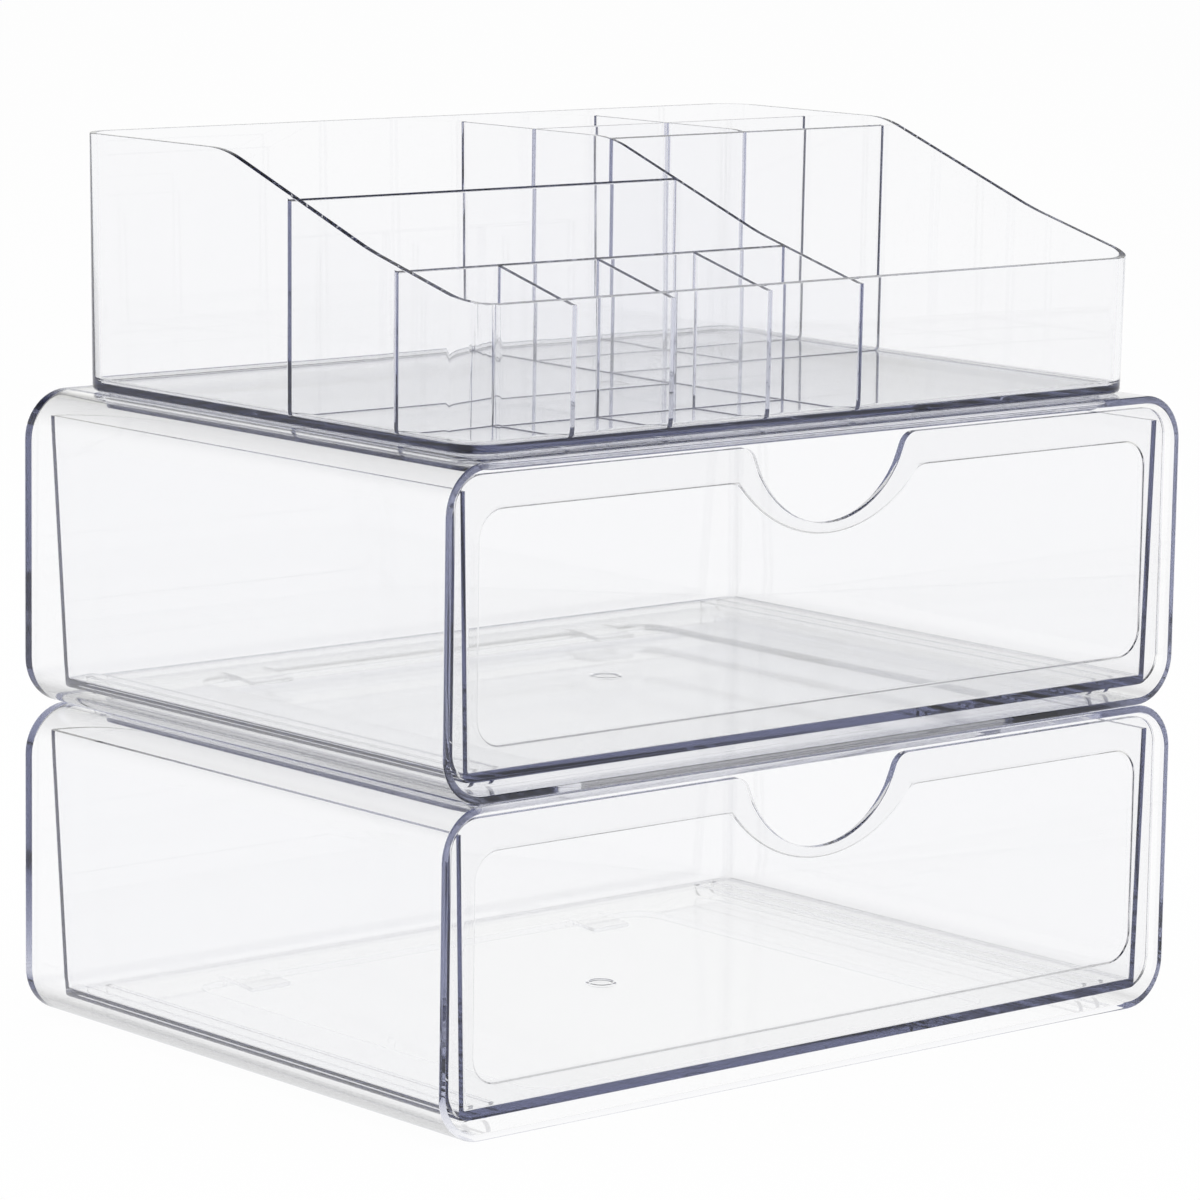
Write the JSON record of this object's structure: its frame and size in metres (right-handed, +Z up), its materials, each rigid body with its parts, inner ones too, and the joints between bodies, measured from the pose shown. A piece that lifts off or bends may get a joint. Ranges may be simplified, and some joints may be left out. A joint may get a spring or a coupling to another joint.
{
  "type": "makeup organizer with drawers",
  "caption": "Clear plastic makeup organizer: stacked sleeve casings with sliding drawers that have finger notches, under a sloped open tray divided into compartments.",
  "frame": {"origin": "middle of the lower casing's flat underside, which stands on the table", "axes": "+X to the right seen from the front, +Y towards the closed back so the drawers pull out along -Y, +Z up"},
  "size_m": [0.317, 0.219, 0.2937],
  "materials": {
    "casing_plastic": "clear, polished, faintly blue in the edges",
    "drawer_plastic": "clear, polished, faintly blue in the edges",
    "tray_plastic": "clear, polished, faintly grey in the edges"
  },
  "bodies": {
    "lower_unit": {"lower_casing": "casing_plastic"},
    "lower_drawer_body": {"lower_drawer": "drawer_plastic"},
    "upper_unit": {"upper_casing": "casing_plastic"},
    "upper_drawer_body": {"upper_drawer": "drawer_plastic"},
    "tray_body": {"tray": "tray_plastic"}
  },
  "joints": [
    {"name": "lower_drawer_slide", "type": "slide", "parent": "lower_unit", "child": "lower_drawer_body", "axis": [0, -1, 0], "range_m": [0, 0.18]},
    {"name": "upper_unit_lift", "type": "slide", "parent": "lower_unit", "child": "upper_unit", "axis": [0, 0, 1], "range_m": [0, 0.06]},
    {"name": "upper_drawer_slide", "type": "slide", "parent": "upper_unit", "child": "upper_drawer_body", "axis": [0, -1, 0], "range_m": [0, 0.18]},
    {"name": "tray_lift", "type": "slide", "parent": "upper_unit", "child": "tray_body", "axis": [0, 0, 1], "range_m": [0, 0.06]}
  ]
}
